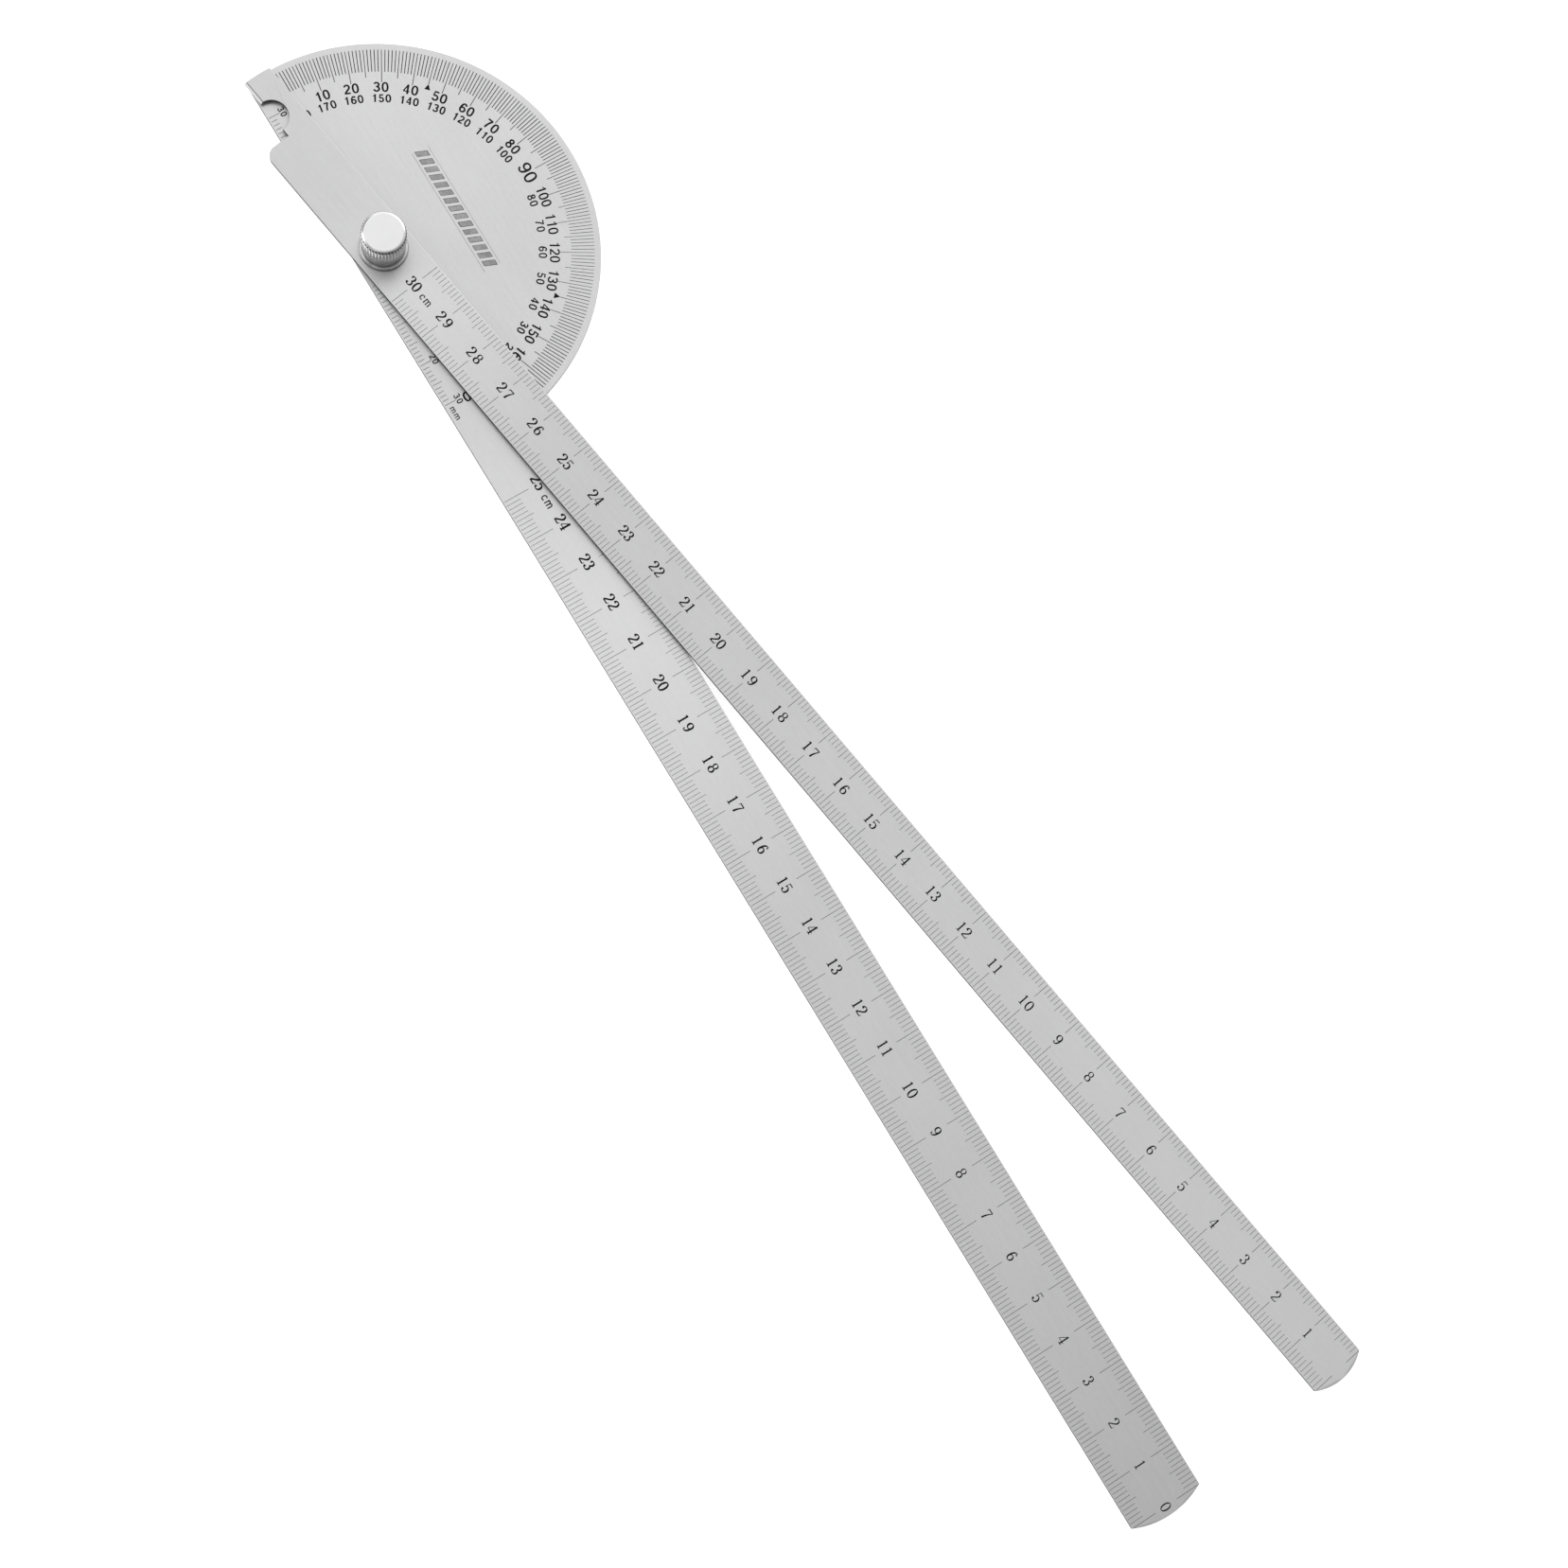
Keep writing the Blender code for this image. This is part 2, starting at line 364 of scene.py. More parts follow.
# A stroke is a path in a box one unit high. w is its width, or (thin, thick) for a broad pen, or a list (start, end).
W = 0.17
SANS_WIDTH = 0.56
SIX = [
    dict(path=ell(0.285, 0.305, 0.205, 0.2375, 0, 360, 28), w=W, closed=True),
    dict(path=bez((0.475, 0.755), (0.42, 1.03), (0.07, 1.03), (0.08, 0.36)), w=W),
]
SANS = {
    "0": [dict(path=ell(0.28, 0.5, 0.21, 0.4325, 0, 360, 32, 2.3), w=W, closed=True)],
    "1": [
        dict(path=[(0.36, 0.0), (0.36, 1.0)], w=W),
        dict(path=bez((0.36, 0.93), (0.31, 0.85), (0.22, 0.77), (0.13, 0.735), 8), w=0.11),
    ],
    "2": [
        dict(
            path=ell(0.275, 0.7, 0.2, 0.2325, 168, -20, 18)
            + bez((0.463, 0.62), (0.42, 0.47), (0.16, 0.3), (0.09, 0.09))[1:],
            w=W,
        ),
        dict(path=[(0.03, W / 2), (0.53, W / 2)], w=W),
    ],
    "3": [
        dict(path=ell(0.265, 0.735, 0.185, 0.1975, 165, -90, 20), w=W),
        dict(path=ell(0.27, 0.295, 0.212, 0.2275, 90, -168, 22), w=W),
        dict(path=[(0.2, 0.53), (0.29, 0.53)], w=0.12),
    ],
    "4": [
        dict(path=[(0.385, 0.0), (0.385, 1.0)], w=W),
        dict(path=[(0.365, 0.95), (0.055, 0.3)], w=0.115),
        dict(path=[(0.01, 0.275), (0.55, 0.275)], w=0.12),
    ],
    "5": [
        dict(path=[(0.11, 0.9325), (0.49, 0.9325)], w=W),
        dict(path=[(0.15, 0.97), (0.095, 0.5)], w=0.12),
        dict(path=ell(0.275, 0.32, 0.21, 0.2525, 140, -162, 26), w=W),
    ],
    "6": SIX,
    "7": [
        dict(path=[(0.04, 0.9325), (0.53, 0.9325)], w=W),
        dict(path=bez((0.49, 0.9), (0.34, 0.7), (0.235, 0.36), (0.215, 0.0)), w=W),
    ],
    "8": [
        dict(path=ell(0.28, 0.745, 0.165, 0.1875, 0, 360, 26), w=W, closed=True),
        dict(path=ell(0.28, 0.29, 0.205, 0.2225, 0, 360, 28), w=W, closed=True),
    ],
    "9": turned(SIX, SANS_WIDTH),
    "c": [dict(path=ell(0.44, 0.5, 0.34, 0.42, 42, 318, 24), w=0.17)],
    "m": [
        dict(path=[(0.09, 0.0), (0.09, 1.0)], w=0.17),
        dict(path=ell(0.34, 0.62, 0.25, 0.3, 180, 0, 14) + [(0.59, 0.0)], w=0.17),
        dict(path=ell(0.84, 0.62, 0.25, 0.3, 180, 0, 14) + [(1.09, 0.0)], w=0.17),
    ],
}

PEN = (0.075, 0.155)
THIN = 0.05


def ball(x, y, r):
    return dict(ball=(x, y, r), path=[])


SERIF_WIDTH = 0.58
SIX_S = [
    dict(path=ell(0.295, 0.295, 0.2, 0.268, 0, 360, 30), w=PEN, closed=True),
    dict(path=bez((0.44, 0.915), (0.32, 1.03), (0.085, 0.86), (0.095, 0.3), 20), w=PEN),
]
SERIF = {
    "0": [dict(path=ell(0.29, 0.5, 0.215, 0.472, 0, 360, 34), w=PEN, closed=True)],
    "1": [
        dict(path=[(0.29, 0.0), (0.29, 1.0)], w=0.145),
        dict(path=[(0.28, 0.95), (0.14, 0.87)], w=0.085),
        dict(path=[(0.13, 0.04), (0.45, 0.04)], w=0.08),
    ],
    "2": [
        ball(0.14, 0.735, 0.075),
        dict(
            path=ell(0.28, 0.715, 0.2, 0.258, 182, 0, 20)
            + bez((0.48, 0.715), (0.48, 0.53), (0.22, 0.32), (0.08, 0.1))[1:],
            w=PEN,
        ),
        dict(path=[(0.05, 0.055), (0.52, 0.055)], w=0.11),
        dict(path=[(0.5, 0.03), (0.55, 0.25)], w=0.05),
    ],
    "3": [
        ball(0.135, 0.79, 0.07),
        dict(path=ell(0.26, 0.75, 0.18, 0.223, 160, -90, 22), w=PEN),
        dict(path=ell(0.26, 0.275, 0.215, 0.248, 90, -165, 24), w=PEN),
        ball(0.125, 0.195, 0.075),
    ],
    "4": [
        dict(path=[(0.4, 0.0), (0.4, 1.0)], w=0.145),
        dict(path=[(0.375, 0.96), (0.04, 0.3)], w=0.065),
        dict(path=[(0.03, 0.28), (0.57, 0.28)], w=0.07),
        dict(path=[(0.25, 0.035), (0.55, 0.035)], w=0.07),
    ],
    "5": [
        dict(path=[(0.12, 0.945), (0.49, 0.945)], w=0.1),
        dict(path=[(0.135, 0.95), (0.115, 0.5)], w=THIN),
        dict(path=ell(0.27, 0.325, 0.215, 0.298, 138, -160, 28), w=PEN),
        ball(0.125, 0.195, 0.072),
    ],
    "6": SIX_S + [ball(0.44, 0.83, 0.065)],
    "7": [
        dict(path=[(0.07, 0.945), (0.53, 0.945)], w=0.11),
        dict(path=[(0.085, 0.99), (0.06, 0.76)], w=THIN),
        dict(path=bez((0.51, 0.94), (0.4, 0.68), (0.27, 0.42), (0.25, 0.0)), w=[0.07, 0.17]),
    ],
    "8": [
        dict(path=ell(0.29, 0.745, 0.175, 0.228, 0, 360, 30), w=(0.05, 0.125), closed=True),
        dict(path=ell(0.29, 0.27, 0.208, 0.243, 0, 360, 32), w=PEN, closed=True),
    ],
    "9": turned(SIX_S, SERIF_WIDTH) + [ball(SERIF_WIDTH - 0.44, 1 - 0.83, 0.065)],
    "c": [
        dict(path=ell(0.46, 0.5, 0.34, 0.42, 48, 312, 26), w=(0.15, 0.23)),
        ball(0.68, 0.74, 0.12),
    ],
    "m": [
        dict(path=[(0.2, 0.0), (0.2, 0.98)], w=0.21),
        dict(path=ell(0.45, 0.6, 0.25, 0.34, 180, 0, 14) + [(0.7, 0.0)], w=(0.15, 0.21)),
        dict(path=ell(0.95, 0.6, 0.25, 0.34, 180, 0, 14) + [(1.2, 0.0)], w=(0.15, 0.21)),
        dict(path=[(0.05, 0.045), (0.37, 0.045)], w=0.09),
        dict(path=[(0.54, 0.045), (0.86, 0.045)], w=0.09),
        dict(path=[(1.04, 0.045), (1.36, 0.045)], w=0.09),
        dict(path=[(0.03, 0.93), (0.2, 0.93)], w=0.09),
    ],
}


def stroke_edges(path, w, closed, place, weight):
    """Left and right edges of a stroke, after place has mapped the path into the sheet's own millimetres."""
    n = len(path)
    pts = [Vector(p) for p in path]
    if closed:
        pts = pts[:-1]
        n -= 1
    left, right = [], []
    for i in range(n):
        if closed:
            a, b = pts[i - 1], pts[(i + 1) % n]
        else:
            a, b = pts[max(i - 1, 0)], pts[min(i + 1, n - 1)]
        d = (b - a).normalized()
        if isinstance(w, tuple):
            width = w[0] + (w[1] - w[0]) * abs(d.y) ** 1.3
        elif isinstance(w, list):
            width = w[0] + (w[1] - w[0]) * i / (n - 1)
        else:
            width = w
        nrm = Vector((-d.y, d.x)) * width * weight / 2
        left.append(place(pts[i] + nrm))
        right.append(place(pts[i] - nrm))
    return left, right


def glyph(ink, strokes, place, weight):
    for s in strokes:
        if "ball" in s:
            x, y, r = s["ball"]
            ring = [Vector(p) for p in ell(x, y, r, r, 0, 360, 16)[:-1]]
            ink.polygon([place(p) for p in ring])
            continue
        left, right = stroke_edges(s["path"], s["w"], s.get("closed", False), place, weight)
        ink.strip(left, right, s.get("closed", False))


def text(ink, chars, font, height, pitch, centre, up=(0.0, 1.0), stretch=1.0, box=0.58, weight=1.0, shift=0.0):
    """Characters centred on a point, or shifted along their line. up is the direction their tops point to; pitch is from one to the next."""
    ux, uy = up
    rx, ry = uy, -ux
    cx, cy = centre
    start = shift - pitch * (len(chars) - 1) / 2
    for i, c in enumerate(chars):
        across = start + i * pitch

        def place(p, across=across):
            x = (p[0] - box / 2) * height * stretch + across
            y = (p[1] - 0.5) * height
            return (cx + rx * x + ux * y, cy + ry * x + uy * y)

        glyph(ink, font[c], place, weight)


# ---------------------------------------------------------------- materials
def nodes_of(name):
    m = bpy.data.materials.new(name)
    m.use_nodes = True
    return m, m.node_tree, m.node_tree.nodes["Principled BSDF"]


def new(nt, kind, **values):
    n = nt.nodes.new(kind)
    for k, v in values.items():
        setattr(n, k, v)
    return n


def noise(nt, scale, detail=3.0, rough=0.5, offset=(0.0, 0.0, 0.0), turn=0.0):
    """A noise in the piece's own coordinates, with a period given along each axis in metres, and those axes turned about Z."""
    tc = new(nt, "ShaderNodeTexCoord")
    back = new(nt, "ShaderNodeMapping")
    back.inputs["Rotation"].default_value = (0, 0, math.radians(-turn))
    mp = new(nt, "ShaderNodeMapping")
    mp.inputs["Scale"].default_value = tuple(1 / s for s in scale)
    mp.inputs["Location"].default_value = offset
    tex = new(nt, "ShaderNodeTexNoise")
    tex.inputs["Scale"].default_value = 1.0
    tex.inputs["Detail"].default_value = detail
    tex.inputs["Roughness"].default_value = rough
    nt.links.new(tc.outputs["Object"], back.inputs["Vector"])
    nt.links.new(back.outputs["Vector"], mp.inputs["Vector"])
    nt.links.new(mp.outputs["Vector"], tex.inputs["Vector"])
    return tex.outputs["Fac"]


def math_node(nt, op, a, b):
    n = new(nt, "ShaderNodeMath", operation=op)
    for socket, v in zip(n.inputs, (a, b)):
        if isinstance(v, (int, float)):
            socket.default_value = v
        else:
            nt.links.new(v, socket)
    return n.outputs[0]


def remap(nt, value, a, b, c, d):
    n = new(nt, "ShaderNodeMapRange")
    n.inputs["From Min"].default_value = a
    n.inputs["From Max"].default_value = b
    n.inputs["To Min"].default_value = c
    n.inputs["To Max"].default_value = d
    nt.links.new(value, n.inputs["Value"])
    return n.outputs["Result"]


def shade_colour(nt, colour, factor):
    n = new(nt, "ShaderNodeVectorMath", operation="SCALE")
    n.inputs[0].default_value = colour
    nt.links.new(factor, n.inputs["Scale"])
    return n.outputs["Vector"]


def brushed_steel(name, colour, roughness, seed, turn=0.0, painted_light_bands=()):
    """Satin stainless, brushed along the piece's own X, with soft blotches and a few long scratches."""
    m, nt, p = nodes_of(name)
    fine = noise(nt, (0.009, 0.00009, 0.0005), 2.0, 0.6, (seed, 0, 0), turn)
    line = noise(nt, (0.045, 0.00055, 0.002), 3.0, 0.6, (seed + 3, 5, 0), turn)
    blotch = noise(nt, (0.02, 0.012, 0.02), 3.0, 0.55, (seed + 9, 2, 0), turn)
    pores = noise(nt, (0.0011, 0.0006, 0.001), 2.0, 0.5, (seed, 7, 0), turn)
    tone = math_node(nt, "ADD", remap(nt, line, 0.3, 0.7, -0.012, 0.012), remap(nt, fine, 0.25, 0.75, -0.035, 0.035))
    tone = math_node(nt, "ADD", tone, remap(nt, blotch, 0.3, 0.7, -0.016, 0.016))
    tone = math_node(nt, "ADD", tone, remap(nt, pores, 0.3, 0.7, -0.014, 0.014))
    if painted_light_bands:
        # painted light and shade along the sheet: bands of brighter or darker base colour that stand in for how the
        # light falls along it; each entry is (centre, half width, change), in millimetres
        tc = new(nt, "ShaderNodeTexCoord")
        back = new(nt, "ShaderNodeMapping")
        back.inputs["Rotation"].default_value = (0, 0, math.radians(-turn))
        nt.links.new(tc.outputs["Object"], back.inputs["Vector"])
        place = new(nt, "ShaderNodeSeparateXYZ")
        nt.links.new(back.outputs["Vector"], place.inputs[0])
        for centre, half, change in painted_light_bands:
            off = math_node(nt, "ABSOLUTE", math_node(nt, "SUBTRACT", place.outputs["X"], centre * MM), 0.0)
            bump_ = new(nt, "ShaderNodeMapRange", interpolation_type="SMOOTHSTEP")
            bump_.inputs["From Min"].default_value = half * MM
            bump_.inputs["From Max"].default_value = 0.0
            bump_.inputs["To Min"].default_value = 0.0
            bump_.inputs["To Max"].default_value = change
            nt.links.new(off, bump_.inputs["Value"])
            tone = math_node(nt, "ADD", tone, bump_.outputs["Result"])
    geo = new(nt, "ShaderNodeNewGeometry")
    sep = new(nt, "ShaderNodeSeparateXYZ")
    nt.links.new(geo.outputs["Normal"], sep.inputs[0])
    # painted shade: the cut sides of the sheet, where the normal is close to level, get a near-black base colour, 0.035
    # to 0.09 of the steel colour, standing in for the shadow and dark reflection along the cut edges
    face = remap(nt, math_node(nt, "ABSOLUTE", sep.outputs["Z"], 0.0), 0.12, 0.28, 0.0, 1.0)
    cut = noise(nt, (0.0006, 0.0006, 0.00006), 3.0, 0.6, (seed, 4, 0), turn)
    side = remap(nt, cut, 0.3, 0.7, 0.035, 0.09)
    mix = new(nt, "ShaderNodeMix", data_type="FLOAT")
    nt.links.new(face, mix.inputs[0])
    nt.links.new(side, mix.inputs[2])
    nt.links.new(math_node(nt, "ADD", tone, 1.0), mix.inputs[3])
    nt.links.new(shade_colour(nt, colour, mix.outputs[0]), p.inputs["Base Color"])
    r = math_node(nt, "ADD", remap(nt, fine, 0.25, 0.75, -0.05, 0.05), remap(nt, blotch, 0.3, 0.7, -0.025, 0.025))
    r = math_node(nt, "ADD", r, remap(nt, face, 0.0, 1.0, 0.14, 0.0))
    nt.links.new(math_node(nt, "ADD", r, roughness), p.inputs["Roughness"])
    height = math_node(nt, "ADD", fine, math_node(nt, "MULTIPLY", line, 1.4))
    bump = new(nt, "ShaderNodeBump")
    bump.inputs["Strength"].default_value = 0.35
    bump.inputs["Distance"].default_value = 0.000004
    nt.links.new(height, bump.inputs["Height"])
    nt.links.new(bump.outputs["Normal"], p.inputs["Normal"])
    tangent = new(nt, "ShaderNodeTangent", direction_type="UV_MAP", uv_map="UVMap")
    nt.links.new(tangent.outputs["Tangent"], p.inputs["Tangent"])
    p.inputs["Metallic"].default_value = 1.0
    p.inputs["Anisotropic"].default_value = 0.45
    p.inputs["Anisotropic Rotation"].default_value = 0.25
    return m


def turned_metal(name, colour, roughness, pitch, bump_height, tone, painted_shade=None):
    """Lathe-turned metal: fine rings about the piece's own Z, on the flats as well as on the sides."""
    m, nt, p = nodes_of(name)
    tc = new(nt, "ShaderNodeTexCoord")
    sep = new(nt, "ShaderNodeSeparateXYZ")
    nt.links.new(tc.outputs["Object"], sep.inputs[0])
    xx = math_node(nt, "MULTIPLY", sep.outputs["X"], sep.outputs["X"])
    yy = math_node(nt, "MULTIPLY", sep.outputs["Y"], sep.outputs["Y"])
    r = math_node(nt, "SQRT", math_node(nt, "ADD", xx, yy), 0.0)
    along = math_node(nt, "ADD", r, sep.outputs["Z"])
    comb = new(nt, "ShaderNodeCombineXYZ")
    nt.links.new(math_node(nt, "MULTIPLY", along, 1 / pitch), comb.inputs["X"])
    tex = new(nt, "ShaderNodeTexNoise", noise_dimensions="3D")
    tex.inputs["Scale"].default_value = 1.0
    tex.inputs["Detail"].default_value = 2.0
    nt.links.new(comb.outputs[0], tex.inputs["Vector"])
    rings = tex.outputs["Fac"]
    cloud = noise(nt, (0.003, 0.003, 0.003), 3.0, 0.55)
    t = math_node(nt, "ADD", remap(nt, rings, 0.25, 0.75, -tone, tone), remap(nt, cloud, 0.3, 0.7, -0.02, 0.02))
    t = math_node(nt, "ADD", t, 1.0)
    for low, high, near, far, least in painted_shade or ():
        # painted shade: darkens the colour between two heights, from full at the near radius to none at the far one,
        # where grooves, valleys and contact edges would lie in shade
        up = remap(nt, sep.outputs["Z"], low * MM, (low + 0.06) * MM, 0.0, 1.0)
        down = remap(nt, sep.outputs["Z"], (high - 0.06) * MM, high * MM, 1.0, 0.0)
        deep = remap(nt, r, near * MM, far * MM, 1.0, 0.0)
        k = math_node(nt, "MULTIPLY", math_node(nt, "MULTIPLY", up, down), deep)
        t = math_node(nt, "MULTIPLY", t, remap(nt, k, 0.0, 1.0, 1.0, least))
    nt.links.new(shade_colour(nt, colour, t), p.inputs["Base Color"])
    rr = math_node(nt, "ADD", remap(nt, rings, 0.25, 0.75, -0.05, 0.05), roughness)
    nt.links.new(math_node(nt, "ADD", rr, remap(nt, cloud, 0.3, 0.7, -0.03, 0.03)), p.inputs["Roughness"])
    bump = new(nt, "ShaderNodeBump")
    bump.inputs["Strength"].default_value = 0.5
    bump.inputs["Distance"].default_value = bump_height
    nt.links.new(rings, bump.inputs["Height"])
    nt.links.new(bump.outputs["Normal"], p.inputs["Normal"])
    tangent = new(nt, "ShaderNodeTangent", direction_type="RADIAL", axis="Z")
    nt.links.new(tangent.outputs["Tangent"], p.inputs["Tangent"])
    p.inputs["Metallic"].default_value = 1.0
    p.inputs["Anisotropic"].default_value = 0.4
    p.inputs["Anisotropic Rotation"].default_value = 0.25
    return m


def ink_material(name, colour, roughness):
    """Dark filled etching: matt, a little uneven, as it sits in the brushed steel."""
    m, nt, p = nodes_of(name)
    grain = noise(nt, (0.0003, 0.0003, 0.0003), 3.0, 0.6)
    wear = noise(nt, (0.004, 0.002, 0.004), 3.0, 0.6, (4, 1, 0))
    f = math_node(nt, "ADD", remap(nt, grain, 0.3, 0.7, 0.8, 1.2), remap(nt, wear, 0.35, 0.75, -0.1, 0.35))
    nt.links.new(shade_colour(nt, colour, f), p.inputs["Base Color"])
    nt.links.new(remap(nt, grain, 0.3, 0.7, roughness - 0.08, roughness + 0.08), p.inputs["Roughness"])
    p.inputs["Specular IOR Level"].default_value = 0.12
    return m


# the last argument of each sheet's steel lists its painted light bands: brighter or darker base colour along the sheet,
# standing in for the lighting
plate_steel = brushed_steel("plate_steel", (0.57, 0.57, 0.572), 0.36, 1.0, 0.0, ((100, 75, 0.16), (205, 120, 0.06), (320, 60, -0.05)))
arm_steel = brushed_steel("arm_steel", (0.535, 0.535, 0.537), 0.36, 21.0, REST_ANGLE, ((15, 42, 0.1), (290, 250, 0.22)))
# the nut's painted shade: darkened base colour in the groove under the top rim, in the knurl's valleys and at the foot
# of the collar
nut_metal = turned_metal(
    "nut_metal", (0.72, 0.72, 0.722), 0.17, 0.00012, 0.000002, 0.03,
    (
        (NUT_Z1 - 0.70, NUT_Z1 - 0.20, 4.90, 5.0, 0.14),
        (NUT_Z0 + NUT_COLLAR_H - 0.02, NUT_Z1 - 0.55, 4.60, 4.74, 0.5),
        (NUT_Z0 - 0.1, NUT_Z0 + 0.2, 5.0, 5.1, 0.45),
    ),
)
stud_metal = turned_metal("stud_metal", (0.66, 0.66, 0.662), 0.25, 0.00012, 0.000003, 0.03)
# the washers' painted shade: darkened base colour on the flat washer's side and underside, on its top where the nut's
# collar sits, and along its outer rim
washer_metal = turned_metal(
    "washer_metal", (0.6, 0.6, 0.602), 0.22, 0.0001, 0.000002, 0.04,
    (
        (WASHER_Z0 - 0.1, WASHER_Z1 - 0.06, 5.5, 5.6, 0.25),
        (WASHER_Z0, WASHER_Z1 + 0.1, 4.55, 4.8, 0.45),
        (WASHER_Z0 - 0.1, WASHER_Z1 + 0.1, WASHER_R - 0.04, WASHER_R - 0.2, 0.35),
    ),
)
black_ink = ink_material("black_ink", (0.006, 0.006, 0.0065), 0.55)
line_ink = ink_material("line_ink", (0.035, 0.035, 0.036), 0.55)
grey_ink = ink_material("grey_ink", (0.31, 0.31, 0.31), 0.5)


# ---------------------------------------------------------------- the two sheets
outline = plate_outline()
plate = sheet("plate_sheet", outline, outline, PLATE_Z0, PLATE_Z1, PLATE_HOLE_R, EDGE, plate_steel)
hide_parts("protractor_plate")
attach(plate, "plate")

ARM_TURN = Matrix.Rotation(math.radians(REST_ANGLE), 4, "Z")
arm = sheet("arm_sheet", arm_outline(0.0), arm_outline(POINTER_BEVEL - 0.14), ARM_Z0, ARM_Z1, ARM_HOLE_R, EDGE, arm_steel)
arm.data.transform(ARM_TURN)
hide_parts("swing_arm")
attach(arm, "arm")


# ---------------------------------------------------------------- marks on the degree head
def polar(r, deg):
    """A point of the head. 0 degrees is at -X and the scale runs over the top to +X."""
    a = math.radians(deg)
    return -r * math.cos(a), r * math.sin(a)


def faint(deg, share):
    """The print is thinner over one stretch of the arc, around 118 degrees."""
    return 1 - share * math.exp(-(((deg - 118) / 26) ** 2))


head_lines = Ink(PLATE_Z1)
for deg in range(180):
    inner = 37.6 if deg % 10 == 0 else 38.7 if deg % 5 == 0 else 40.0
    x0, y0 = polar(inner, deg)
    x1, y1 = polar(45.0, deg)
    head_lines.bar(x0, y0, x1, y1, (0.19 if deg % 5 else 0.165) * faint(deg, 0.42))

head_figures = Ink(PLATE_Z1)
for deg in range(0, 181, 10):
    a = math.radians(deg)
    up = (-math.cos(a), math.sin(a))
    if deg == 90:
        text(head_figures, "90", SANS, 3.0, 2.32, polar(35.7, 90), up, 1.22, SANS_WIDTH, 0.78, 0.07)
        continue
    # the printed rings of figures aren't quite concentric with the arc
    off = 0.1 * math.cos(a) + 0.16 * math.sin(a)
    if deg == 180:
        text(head_figures, "180", SANS, 2.2, 1.7, (36.5, 0.42), up, 1.16, SANS_WIDTH)
    else:
        three = deg > 90
        text(
            head_figures, str(deg), SANS, 2.2, 1.65 if three else 1.79, polar(36.37 + off, deg), up, 1.16, SANS_WIDTH,
            faint(deg, 0.15), -0.04 if three else -0.18,
        )
    text(
        head_figures, str(180 - deg), SANS, 1.79, 1.49, polar(33.81 + off, deg), up, 1.15, SANS_WIDTH, 1.08 * faint(deg, 0.15),
        -0.12 if deg < 90 else 0.05,
    )
for deg in (45, 135):
    a = math.radians(deg)
    up = Vector((-math.cos(a), math.sin(a)))
    side = Vector((up.y, -up.x))
    c = Vector(polar(38.0, deg))
    tip, b0, b1 = c + up * 0.7, c - up * 0.6 - side * 0.65, c - up * 0.6 + side * 0.65
    head_figures.strip([tuple(tip + side * 0.02), tuple(b1)], [tuple(tip - side * 0.02), tuple(b0)])

# the millimetre scale along the baseline, which counts outwards from the middle both ways
base_lines, base_figures = Ink(PLATE_Z1), head_figures
for side, zero in ((1, 6.0), (-1, -7.0)):
    for mm in range(31):
        x = zero + side * mm
        top = BASELINE_Y + (3.0 if mm % 10 == 0 else 2.4 if mm % 5 == 0 else 1.75)
        base_lines.bar(x, BASELINE_Y + 0.3, x, top, 0.11)
    for mm in (10, 20, 30):
        text(base_figures, str(mm), SANS, 1.4, 1.25, (zero + side * mm, -3.05), (0, 1), 1.15, SANS_WIDTH)
text(base_lines, "m", SANS, 0.95, 1.7, (37.6, -5.35), (0, 1), 1.15, 1.18, 1.3)
text(base_lines, "m", SANS, 0.95, 1.7, (39.3, -5.35), (0, 1), 1.15, 1.18, 1.3)

# a plain hatched band between two rules
panel = Ink(PLATE_Z1)
for y in (20.1, 16.2):
    panel.bar(-15.6, y, 14.7, y, 0.1)
bars = 15
panel_lines = Ink(PLATE_Z1)
for i in range(bars):
    x = -14.5 + i * (28.0 / (bars - 1))
    lean, half = 0.5, 0.6
    low, high = 16.85, 19.45
    panel.strip([(x - half - lean, low), (x - half + lean, high)], [(x + half - lean, low), (x + half + lean, high)])
    corners = [(x - half - lean, low), (x + half - lean, low), (x + half + lean, high), (x - half + lean, high)]
    for a, b in zip(corners, corners[1:] + corners[:1]):
        panel_lines.bar(*a, *b, 0.1)


# ---------------------------------------------------------------- marks on the two blades
def blade_middle(x):
    """The printed scale lies a hair out of line with the blade."""
    return 2.2 - 0.0015 * x


def arm_middle(u):
    return 0.02 + 0.0013 * u


def centimetres(ink, cm, height, centre, stretch, shift, heaviest):
    """A centimetre figure. Its first digit keeps its place, and a second digit from 6 to 9 stands further off."""
    chars = str(cm)
    if len(chars) == 1:
        pitch, extra = 0.0, 0.24
    elif chars[1] in "6789":
        pitch, extra = 2.1, 0.1
    else:
        pitch, extra = 1.78, 0.03 if chars[1] == "0" else -0.08
    heavy = 0.72 + (heaviest - 0.72) * min(1.0, cm / 25)
    text(ink, chars, SERIF, height, pitch, centre, (0, 1), stretch, SERIF_WIDTH, heavy, shift + extra)


blade_lines, blade_figures = Ink(PLATE_Z1), Ink(PLATE_Z1)
for mm in range(251):
    x = BLADE_ZERO_X - mm
    c = blade_middle(x)
    kind = 0 if mm % 10 == 0 else 1 if mm % 5 == 0 else 2
    w = (0.1, 0.09, 0.088)[kind]
    blade_lines.bar(x, BLADE_TOP_Y - 0.25, x, c + (2.85, 4.25, 5.3)[kind], w)
    blade_lines.bar(x, BASELINE_Y + 0.25, x, c - (2.45, 4.15, 5.0)[kind], w)
for cm in range(26):
    x = BLADE_ZERO_X - 10 * cm - 0.05
    centimetres(blade_figures, cm, 2.45, (x, blade_middle(x) + 0.06), 1.12, -0.1, 1.16)
for i, c in enumerate("cm"):
    text(
        blade_figures, c, SANS, 1.35, 1.0,
        (BLADE_ZERO_X - 250 + (3.35, 5.0)[i], blade_middle(60) - 0.55), (0, 1), 1.0, (0.88, 1.18)[i], 1.25,
    )

